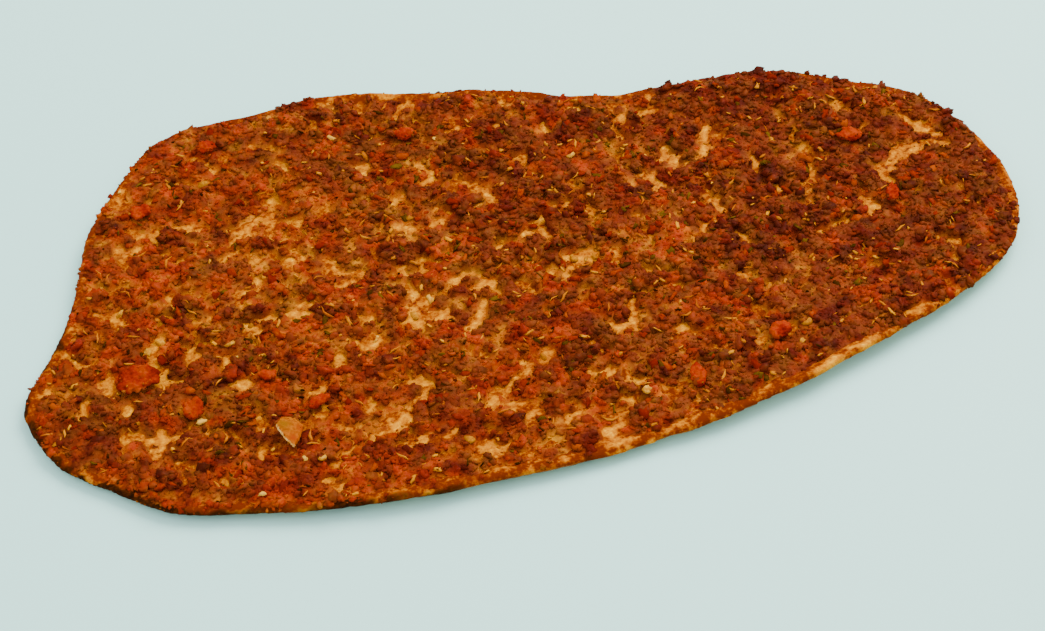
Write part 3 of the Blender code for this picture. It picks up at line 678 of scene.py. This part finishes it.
def meatMood(x, y):
    tone = mood["tone"] + wave(x, y, mood["toneBroad"], 11, 2) + wave(x, y, mood["toneFine"], 12, 2)
    tone = tone - mood["toneOnClumps"] * sample(clump, x, y) + mood["sauceTone"] * sample(sauce, x, y)
    tone = tone - mood["farLess"] * smoothStep(x + y, *mood["farFrom"])
    tone = tone - mood["nearLess"] * smoothStep(-y, *mood["nearFrom"])
    warm = mood["warmMore"] * smoothStep(softNoise(x, y, mood["warmSize"], 13, 2), *mood["warmFrom"])
    warm = warm + mood["warm"] + wave(x, y, mood["warmBroad"], 14)
    warm = warm + mood["sauceWarm"] * sample(sauce, x, y)
    warm = warm - mood["coolLess"] * smoothStep(x + mood["coolSkew"] * y, *mood["coolFrom"])
    for spotX, spotY, reach in redAreas:
        apart = ((x - spotX * mm) ** 2 + (y - spotY * mm) ** 2) / (reach * mm) ** 2
        warm = warm + mood["redWarm"] * np.exp(-apart)
        tone = tone + mood["redTone"] * np.exp(-apart)
    return tone, warm


print("meat layer")
nothingSelected()
columns, rows = int(bed["netLength"] / bed["step"]), int(bed["netWidth"] / bed["step"])
bpy.ops.mesh.primitive_grid_add(x_subdivisions=columns, y_subdivisions=rows, size=1, location=(0, 0, 0))
layer = bpy.context.object
points = coordinates(layer.data)
points[:, 0] *= columns * bed["step"]
points[:, 1] *= rows * bed["step"]
edge = sample(breadEdge, points[:, 0], points[:, 1])
lack = sample(cover, points[:, 0], points[:, 1])
points[:, 2] = sample(bedTop, points[:, 0], points[:, 1])
setCoordinates(layer.data, points)
loose = (edge < bed["edgeRoom"]) | (lack < bed["gapRoom"])
bpy.ops.object.mode_set(mode="EDIT")
bpy.ops.mesh.select_all(action="DESELECT")
bpy.ops.object.mode_set(mode="OBJECT")
layer.data.vertices.foreach_set("select", loose)
bpy.ops.object.mode_set(mode="EDIT")
bpy.ops.mesh.delete(type="VERT")
bpy.ops.mesh.select_all(action="SELECT")
bpy.ops.mesh.delete_loose()
bpy.ops.object.mode_set(mode="OBJECT")
thickness = layer.modifiers.new("thickness", "SOLIDIFY")
thickness.thickness, thickness.offset = bed["under"], -1
count = len(layer.data.vertices)
bpy.ops.object.modifier_apply(modifier="thickness")
# the lower side goes into the bread
points = coordinates(layer.data)
points[count:, :2] = points[:count, :2]
sunk = sample(breadTop, *points[:count, :2].T) - bed["under"]
points[count:, 2] = np.minimum(sunk, points[:count, 2] - bed["leastThickness"])
setCoordinates(layer.data, points)
tone, warm = meatMood(points[:, 0], points[:, 1])
lean = bed["leanLeast"] + bed["leanMore"] * sample(thin, points[:, 0], points[:, 1])
setAttribute(layer.data, "tone", tone)
setAttribute(layer.data, "warm", np.clip(warm, 0, 1))
setAttribute(layer.data, "lean", lean)
finishPiece(layer, "meat_layer", meatShader("cooked_meat_layer", bed["bumpHeight"]))
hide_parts("meat_topping")

# crumbs are strewn on a loose net over the whole bread, each with its own size and turn
strewing = {
    "netLength": 356 * mm, "netWidth": 206 * mm, "rowSpacing": 0.87,
    "shapes": 12, "jitter": 0.42, "tilt": 22,
    "mostTriangles": 195000,                   # in one mesh
}
# radius in mm and height for it; how deep each one sinks, for its height; the share that strays into
# the gaps; how far the others keep off them, for their radius; the part of each chip that stays clear
crumbs = {
    "large": {"spacing": 2.9 * mm, "radius": (0.9, 2.1), "flat": (0.35, 0.6), "sink": 1.05, "ragged": 0.5,
              "stray": 0.0, "keepOff": 0.45, "hollow": 1.0, "chipShare": 0.95, "inside": 0.2 * mm},
    "small": {"spacing": 2.2 * mm, "radius": (0.6, 1.3), "flat": (0.4, 0.7), "sink": 0.85, "ragged": 0.42,
              "stray": 0.12, "keepOff": 0.35, "hollow": 0.3, "chipShare": 0.85, "inside": 0.4 * mm},
    "grit": {"spacing": 2.0 * mm, "radius": (0.3, 0.6), "flat": (0.5, 0.9), "lift": -0.2 * mm, "ragged": 0.36,
             "stray": 0.2, "keepOff": 0.2, "hollow": 0.0, "chipShare": 0.6, "inside": 1.6 * mm},
}
# what all crumbs have in common
crumbLook = {
    "onClumps": 0.25, "strayReach": 2.5 * mm, "hollowFrom": 0.2, "edgeShare": 0.6, "chipRoom": 0.25,
    "atGap": 0.6, "gapReach": 3 * mm, "thinLess": 0.35, "length": (0.85, 1.3), "width": (0.7, 1.0),
    "above": 0.5, "rimMore": 0.25, "rimFrom": (2 * mm, 5 * mm), "heightWave": (0.35, 5 * mm),
    "toneStray": 0.07, "warmStray": 0.06, "leanShare": 0.85, "leanStray": (-0.03, 0.06),
    "bumpHeight": 0.4 * mm,
}


def keptShape(piece):
    # the corners and triangles of a piece, which is then removed
    mesh = piece.data
    shape = (coordinates(mesh), np.array([tuple(p.vertices) for p in mesh.polygons]))
    bpy.data.objects.remove(piece)
    bpy.data.meshes.remove(mesh)
    return shape


def lumpShapes(kind, count, ragged, seed):
    # a few rough lumps of radius 1: the larger ones start as cubes cut finer, the others as balls
    # of 20 triangles
    shapes = []
    for k in range(count):
        nothingSelected()
        if kind in ("large", "bit"):
            bpy.ops.mesh.primitive_cube_add(size=1.5, location=(0, 0, 0))
        else:
            bpy.ops.mesh.primitive_ico_sphere_add(subdivisions=1, radius=1, location=(0, 0, 0))
        lump = bpy.context.object
        editAll()
        if kind in ("large", "bit"):
            bpy.ops.mesh.subdivide(number_cuts=1)
            bpy.ops.transform.tosphere(value=0.7)
        bpy.ops.transform.vertex_random(offset=ragged, uniform=0.2, normal=0.7, seed=seed + k)
        bpy.ops.mesh.quads_convert_to_tris()
        bpy.ops.mesh.normals_make_consistent(inside=False)
        bpy.ops.object.mode_set(mode="OBJECT")
        shapes.append(keptShape(lump))
    return shapes


def turns(generator, count, tilt):
    # one turn about Z and a tilt for each, as 3 by 3 matrices
    a = generator.uniform(0, 2 * math.pi, count)
    b = generator.normal(0, math.radians(tilt), count)
    c = generator.normal(0, math.radians(tilt), count)
    zero, one = np.zeros(count), np.ones(count)
    turnZ = np.array([[np.cos(a), -np.sin(a), zero], [np.sin(a), np.cos(a), zero], [zero, zero, one]])
    turnX = np.array([[one, zero, zero], [zero, np.cos(b), -np.sin(b)], [zero, np.sin(b), np.cos(b)]])
    turnY = np.array([[np.cos(c), zero, np.sin(c)], [zero, one, zero], [-np.sin(c), zero, np.cos(c)]])
    return np.einsum("ijn,jkn,kln->nil", turnZ, turnX, turnY)


def drawnSizes(generator, radius, *spans):
    # half the length, width and height of each lump, as random shares of its radius
    return np.stack([radius * generator.uniform(*span, len(radius)) for span in spans], 1)


def joinLumps(name, shader, shapes, generator, places, sizes, tilt, values):
    # one mesh of all lumps; values are attributes with one number for each lump
    count = len(places)
    which = generator.integers(0, len(shapes), count)
    shapeCorners = np.array([s[0] for s in shapes])
    shapeFaces = np.array([s[1] for s in shapes])
    scaled = shapeCorners[which] * sizes[:, None, :]
    corners = np.einsum("nij,nvj->nvi", turns(generator, count, tilt), scaled)
    corners += places[:, None, :]
    each = shapeCorners.shape[1]
    faces = shapeFaces[which] + (np.arange(count) * each)[:, None, None]
    mesh = bpy.data.meshes.new(name)
    mesh.from_pydata(corners.reshape(-1, 3), [], faces.reshape(-1, 3))
    piece = bpy.data.objects.new(name, mesh)
    bpy.context.collection.objects.link(piece)
    for key, value in values.items():
        setAttribute(mesh, key, np.repeat(value, each))
    finishPiece(piece, name, shader)


def strewn(generator, spacing, jitter):
    rowSpacing = spacing * strewing["rowSpacing"]
    nx, ny = int(strewing["netLength"] / spacing), int(strewing["netWidth"] / rowSpacing)
    i, j = np.meshgrid(np.arange(nx + 1), np.arange(ny + 1))
    x = (i - nx / 2 + (j % 2) * 0.5) * spacing
    y = (j - ny / 2) * spacing * strewing["rowSpacing"]
    spots = np.stack([x.ravel(), y.ravel()], 1)
    return spots + generator.uniform(-jitter, jitter, spots.shape) * spacing


chipNodes = [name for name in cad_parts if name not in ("bread", "meat_topping")]
chipBoxes = [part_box(name) for name in chipNodes]


def clearOfChips(spots, room, share):
    # share is the part of each chip's half width that is kept clear
    free = np.ones(len(spots), bool)
    for low, high in chipBoxes:
        middle = (np.array(low[:2]) + np.array(high[:2])) / 2
        half = (np.array(high[:2]) - np.array(low[:2])) / 2 + room
        off = (spots - middle) / half
        free &= np.hypot(off[:, 0], off[:, 1]) > share
    return free


# the heights of bed, chips and crumbs together on a finer net, which smaller bits lie on
pileNet = {"step": 0.5 * mm, "stepsX": 364, "stepsY": 214}
fineStep = pileNet["step"]
fineX = np.arange(-pileNet["stepsX"], pileNet["stepsX"] + 1) * fineStep
fineY = np.arange(-pileNet["stepsY"], pileNet["stepsY"] + 1) * fineStep
meshX, meshY = np.meshgrid(fineX, fineY)
ground = np.maximum(sample(bedTop, meshX, meshY), sample(breadTop, meshX, meshY))
for name, (low, high) in zip(chipNodes, chipBoxes):
    tree = treeOf(name)
    for j in np.flatnonzero((fineY > low[1]) & (fineY < high[1])):
        for i in np.flatnonzero((fineX > low[0]) & (fineX < high[0])):
            start = Vector((fineX[i], fineY[j], heights["over"]))
            hit = tree.ray_cast(start, Vector((0, 0, -1)))[0]
            if hit:
                ground[j, i] = max(ground[j, i], hit.z)
pile = ground.copy()


def stamp(places, sizes):
    # adds a dome for each lump to the pile
    for (x, y, z), size in zip(places, sizes):
        radius = (size[0] + size[1]) / 2
        i, j = int((x - fineX[0]) / fineStep), int((y - fineY[0]) / fineStep)
        reach = int(radius / fineStep) + 1
        window = (slice(max(j - reach, 0), j + reach + 1), slice(max(i - reach, 0), i + reach + 1))
        apart = ((meshX[window] - x) ** 2 + (meshY[window] - y) ** 2) / radius ** 2
        dome = np.where(apart < 1, z + size[2] * np.sqrt(np.clip(1 - apart, 0, 1)), -1)
        pile[window] = np.maximum(pile[window], dome)


def heightAt(net, x, y):
    i = np.clip(((x - fineX[0]) / fineStep + 0.5).astype(int), 0, len(fineX) - 1)
    j = np.clip(((y - fineY[0]) / fineStep + 0.5).astype(int), 0, len(fineY) - 1)
    return net[j, i]


print("crumbs")
crumbShader = meatShader("cooked_meat_crumbs", crumbLook["bumpHeight"])
for order, (kind, look) in enumerate(crumbs.items()):
    generator = np.random.default_rng(100 + order)
    shapes = lumpShapes(kind, strewing["shapes"], look["ragged"], 40 * order)
    spots = strewn(generator, look["spacing"], strewing["jitter"])
    x, y = spots.T
    radius = generator.uniform(*look["radius"], len(spots)) * mm
    radius = radius * (1 + crumbLook["onClumps"] * sample(clump, x, y))
    hollow = np.minimum(sample(clump, x, y) + crumbLook["hollowFrom"], 0) * mm
    room = sample(cover, x, y) + look["hollow"] * hollow
    room = room + (generator.random(len(x)) < look["stray"]) * crumbLook["strayReach"]
    good = room > radius * look["keepOff"]
    good &= sample(breadEdge, x, y) > radius * crumbLook["edgeShare"] + look["inside"]
    good &= clearOfChips(spots, radius[:, None] * crumbLook["chipRoom"], look["chipShare"])
    spots, radius, x, y, room = spots[good], radius[good], x[good], y[good], room[good]
    atGap = crumbLook["atGap"]
    radius = radius * (atGap + (1 - atGap) * smoothStep(room, 0, crumbLook["gapReach"]))
    radius = radius * (1 - crumbLook["thinLess"] * sample(thin, x, y))
    sizes = drawnSizes(generator, radius, crumbLook["length"], crumbLook["width"], look["flat"])
    below = heightAt(pile if kind == "grit" else ground, x, y)
    if kind == "grit":
        lift = look["lift"]
    else:
        atRim = crumbLook["rimMore"] * (1 - smoothStep(sample(breadEdge, x, y), *crumbLook["rimFrom"]))
        lift = crumbLook["above"] - look["sink"] + atRim + wave(x, y, crumbLook["heightWave"], 31 + order)
        lift = lift * sizes[:, 2]
    places = np.stack([x, y, below + lift], 1)
    tone, warm = meatMood(x, y)
    tone = tone + generator.normal(0, crumbLook["toneStray"], len(x))
    warm = warm + generator.normal(0, crumbLook["warmStray"], len(x))
    lean = crumbLook["leanShare"] * sample(thin, x, y) + generator.normal(*crumbLook["leanStray"], len(x))
    values = {"tone": tone, "warm": np.clip(warm, 0, 1), "lean": np.clip(lean, 0, 1)}
    if kind != "grit":
        stamp(places, sizes)
    parts = int(math.ceil(len(x) * len(shapes[0][1]) / strewing["mostTriangles"]))
    cuts = np.array_split(np.argsort(x, kind="stable"), parts)
    for k, take in enumerate(cuts):
        name = "meat_%s_%d" % (kind, k + 1)
        joinLumps(name, crumbShader, shapes, generator, places[take], sizes[take],
                  strewing["tilt"], {key: value[take] for key, value in values.items()})

# the chips of pepper and tomato; colours in thousandths from dark to light
chips = {
    "voxel": 0.35 * mm, "smoothRounds": 3, "tone": (0.4, 4 * mm),
    "waves": [(2.4 * mm, 2.6 * mm), (1.0 * mm, 0.9 * mm)],
    "shardWaves": [(0.5 * mm, 2.6 * mm), (0.3 * mm, 0.9 * mm)],
    "red": {"colours": ((120, 3, 0), (225, 10, 0), (305, 32, 0)), "scale": 900, "roughness": 0.45},
    "tomato": {"colours": ((120, 4, 0), (220, 12, 0), (300, 38, 0)), "scale": 700, "roughness": 0.42},
}
# all moist pieces
juicy = {
    "fine": (4, 0.6), "broad": (3, 0.5), "broader": 4, "share": 0.5, "toneShare": 0.3,
    "stops": (0.34, 0.5, 0.68), "bumpShare": 0.35, "bumpHeight": 0.3 * mm, "sheen": 0.012,
    "scale": 900, "roughness": 0.5,
}
# the shard's places are mm to the right of its middle and beyond it, then the spot's size
shard = {
    "fine": (900, 4, 0.6), "roughness": 0.45, "sheen": 0.008, "bumpShare": 0.4, "bumpHeight": 0.3 * mm,
    "flesh": [(0.34, (210, 42, 0)), (0.5, (290, 70, 0)), (0.66, (410, 110, 0))],
    "olive": (190, 66, 0), "oliveSpot": (-2.4, 1.4, 1.5),
    "blush": (270, 34, 0), "blushSpots": [(1.0, (1.0, -3.4, 1.3)), (0.8, (3.0, 1.2, 1.3))],
    "cut": [(0.35, (560, 240, 30)), (0.65, (800, 520, 170))],
    "cutWay": (-0.80, -0.42, -0.1), "cutFrom": (0.25, 0.6), "tipFrom": (5.4, 6.6),
}


def juicyShader(name, colours, scale, roughness):
    shader = newShader(name)
    fine = noise(shader, scale, *juicy["fine"])
    broad = noise(shader, scale / juicy["broader"], *juicy["broad"])
    level = plus(shader, times(shader, fine, juicy["share"]), times(shader, broad, juicy["share"]))
    level = plus(shader, level, times(shader, attribute(shader, "tone"), juicy["toneShare"]))
    colour = ramp(shader, level, list(zip(juicy["stops"], colours)))
    bumps = bump(shader, fine, juicy["bumpShare"], juicy["bumpHeight"])
    return finishShader(shader, colour, roughness, bumps, juicy["sheen"])


def shardShader():
    # yellow flesh with orange blushes, an olive cheek and pale cut sides
    shader = newShader("yellow_pepper_flesh")
    fine = noise(shader, *shard["fine"])
    flesh = ramp(shader, fine, shard["flesh"])
    flesh = blendColour(shader, attribute(shader, "olive"), flesh, paint(*shard["olive"]))
    flesh = blendColour(shader, attribute(shader, "blush"), flesh, paint(*shard["blush"]))
    flesh = blendColour(shader, attribute(shader, "cut"), flesh, ramp(shader, fine, shard["cut"]))
    bumps = bump(shader, fine, shard["bumpShare"], shard["bumpHeight"])
    return finishShader(shader, flesh, shard["roughness"], bumps, shard["sheen"])


def paintShard(mesh):
    points = coordinates(mesh)
    normals = np.empty(len(points) * 3)
    mesh.vertices.foreach_get("normal", normals)
    normals = normals.reshape(-1, 3)
    flat = (points[:, :2] - (points[:, :2].min(0) + points[:, :2].max(0)) / 2) / mm
    across, beyond = flat @ np.array(right[:2]), flat @ np.array(away[:2])

    def spot(u, v, size):
        return np.exp(-0.5 * ((across - u) ** 2 + (beyond - v) ** 2) / size ** 2)

    blush = sum(share * spot(*place) for share, place in shard["blushSpots"])
    setAttribute(mesh, "blush", np.clip(blush, 0, 1))
    setAttribute(mesh, "olive", spot(*shard["oliveSpot"]))
    side = smoothStep(normals @ np.array(shard["cutWay"]), *shard["cutFrom"])
    tip = smoothStep(-beyond, *shard["tipFrom"])
    setAttribute(mesh, "cut", np.maximum(side, tip))


print("chips")
redShader = juicyShader("red_pepper_flesh", **chips["red"])
tomatoShader = juicyShader("tomato_flesh", **chips["tomato"])
yellowShader = shardShader()
for name in chipNodes:
    chip = mergedCopy(name)
    waves = chips["shardWaves"] if "shard" in name else chips["waves"]
    remeshed(chip, chips["voxel"], chips["smoothRounds"], waves)
    if "tomato" in name:
        slot, shader = "tomato", tomatoShader
    elif "shard" in name:
        slot, shader = "yellow_pepper", yellowShader
        paintShard(chip.data)
    else:
        slot, shader = "red_pepper", redShader
    setAttribute(chip.data, "tone", wave(*coordinates(chip.data)[:, :2].T, chips["tone"], 61))
    finishPiece(chip, name + "_flesh", shader)
    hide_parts(name)

# thin slivers two units long, swept from a small square and bent at random
sliver = {
    "radius": 0.16, "ends": 1.15, "bend": (-0.5, 0.5), "twist": (-0.3, 0.3), "droop": (-0.25, 0.1),
    "shapes": 8, "seed": 700,
}


def strandShapes(count, seed):
    shapes = []
    for k in range(count):
        generator = np.random.default_rng(seed + k)
        nothingSelected()
        bpy.ops.mesh.primitive_cylinder_add(vertices=4, radius=sliver["radius"], depth=2,
                                            location=(0, 0, 0), rotation=(0, math.pi / 2, 0))
        strand = bpy.context.object
        bpy.ops.object.transform_apply(location=False, rotation=True, scale=False)
        editAll()
        bpy.ops.mesh.subdivide(number_cuts=2)
        bpy.ops.mesh.quads_convert_to_tris()
        bpy.ops.object.mode_set(mode="OBJECT")
        points, faces = keptShape(strand)
        along = points[:, 0].copy()
        points[:, 1:] *= (sliver["ends"] - along[:, None] ** 2)
        bend, twist = generator.uniform(*sliver["bend"]), generator.uniform(*sliver["twist"])
        points[:, 1] += bend * along ** 2 + twist * along ** 3
        points[:, 2] += generator.uniform(*sliver["droop"]) * along ** 2
        shapes.append((points, faces))
    return shapes


# the small bits: radius in mm, and length, width and height for it; how far each one is lifted, for
# its height; colours in thousandths from dark to light
bits = {
    "onion_bits": {"count": 330, "radius": (0.4, 1.0), "length": (1.0, 2.2), "flat": (0.3, 0.6),
                   "tilt": 25, "colours": ((320, 84, 0), (430, 138, 0), (570, 225, 2))},
    "onion_slivers": {"count": 260, "radius": (1.0, 3.0), "length": (0.8, 1.2), "width": (1.0, 1.0),
                      "flat": (0.7, 1.0), "lift": 0.0, "tilt": 12,
                      "colours": ((290, 56, 0), (385, 102, 0), (505, 172, 0))},
    "pepper_bits": {"count": 430, "radius": (0.6, 1.9), "length": (1.0, 1.7), "flat": (0.3, 0.6),
                    "tilt": 22, "slot": "red_pepper", "colours": ((120, 5, 0), (190, 14, 0), (270, 42, 0))},
    "herb_flecks": {"count": 300, "radius": (0.6, 1.5), "length": (1.0, 1.9), "flat": (0.15, 0.3),
                    "tilt": 30, "colours": ((36, 11, 0), (64, 25, 1), (110, 52, 2))},
    "char_flakes": {"count": 150, "radius": (0.35, 0.8), "length": (1.0, 1.6), "flat": (0.3, 0.6),
                    "tilt": 30, "colours": ((12, 3, 0), (26, 6, 0), (60, 14, 0))},
}
# what most bits have, then where they may lie: x and y to both sides, and how far from gaps, edge
# and chips
bitLook = {
    "width": (0.6, 0.9), "lift": -0.25, "slot": "cooked_meat",
    "reachX": 172 * mm, "reachY": 98 * mm, "fromGap": 0.8 * mm, "fromEdge": 2.5 * mm,
    "fromChip": 1 * mm, "chipShare": 0.8, "shapes": 8, "ragged": 0.5, "toneStray": 0.35,
}
pale = {
    "length": (0.9, 1.4), "width": (0.55, 0.9), "flat": (0.4, 0.6), "lift": 0.1, "tilt": 22,
    "colours": ((280, 84, 0), (420, 160, 3), (620, 330, 45)),
    "shapes": 6, "ragged": 0.45, "toneStray": 0.3,
}
# the places of the largest pale bits: x, y, radius (mm)
paleSpots = [
    (-48, 75, 1.5), (-13, 65, 1.2), (18, -78, 1.6), (46, 4, 1.5), (-97, 64, 1.6), (31, 42, 1.3),
    (16, -8, 1.7), (20, -9, 1.2), (23, -9, 1.3), (-137, 8, 1.7), (-126, -8, 1.7), (-131, -11, 1.3),
    (-120, -47, 1.5), (-109, -85, 1.5), (-42, -81, 1.4), (74, -71, 1.3), (79, -63, 1.6),
    (-105, -16, 1.5), (-36, -13, 1.5), (-32, 28, 1.3), (-43, -19, 1.6), (-93, -74, 1.0), (-88, -76, 1.0),
    (-58, -26, 1.3), (-8, -50, 1.3), (112, -33, 1.0), (-126, 68, 1.2), (-96, -8, 1.2), (-104, -23, 0.9),
    (-144, -28, 0.8),
]
print("bits")
generator = np.random.default_rng(290)
spots = np.array([spot[:2] for spot in paleSpots]) * mm
radius = np.array([spot[2] for spot in paleSpots]) * mm
sizes = drawnSizes(generator, radius, pale["length"], pale["width"], pale["flat"])
shader = juicyShader("pale_bits_flesh", pale["colours"], juicy["scale"], juicy["roughness"])
shapes = lumpShapes("bit", pale["shapes"], pale["ragged"], 480)
places = np.column_stack([spots, heightAt(pile, *spots.T) + pale["lift"] * sizes[:, 2]])
values = {"tone": generator.normal(0, pale["toneStray"], len(spots))}
joinLumps("pale_bits", shader, shapes, generator, places, sizes, pale["tilt"], values)
for order, (name, own) in enumerate(bits.items()):
    look = {**bitLook, **own}
    generator = np.random.default_rng(300 + order)
    corner = np.array([look["reachX"], look["reachY"]])
    spots = generator.uniform(-corner, corner, (look["count"] * 2, 2))
    good = sample(cover, *spots.T) > look["fromGap"]
    good &= sample(breadEdge, *spots.T) > look["fromEdge"]
    good &= clearOfChips(spots, look["fromChip"], look["chipShare"])
    spots = spots[good][:look["count"]]
    radius = generator.uniform(*look["radius"], len(spots)) * mm
    sizes = drawnSizes(generator, radius, look["length"], look["width"], look["flat"])
    places = np.column_stack([spots, heightAt(pile, *spots.T) + look["lift"] * sizes[:, 2]])
    shader = juicyShader(name + "_flesh", look["colours"], juicy["scale"], juicy["roughness"])
    if name == "onion_slivers":
        shapes = strandShapes(sliver["shapes"], sliver["seed"])
    else:
        shapes = lumpShapes("bit", look["shapes"], look["ragged"], 500 + 20 * order)
    values = {"tone": generator.normal(0, look["toneStray"], len(spots))}
    joinLumps(name, shader, shapes, generator, places, sizes, look["tilt"], values)
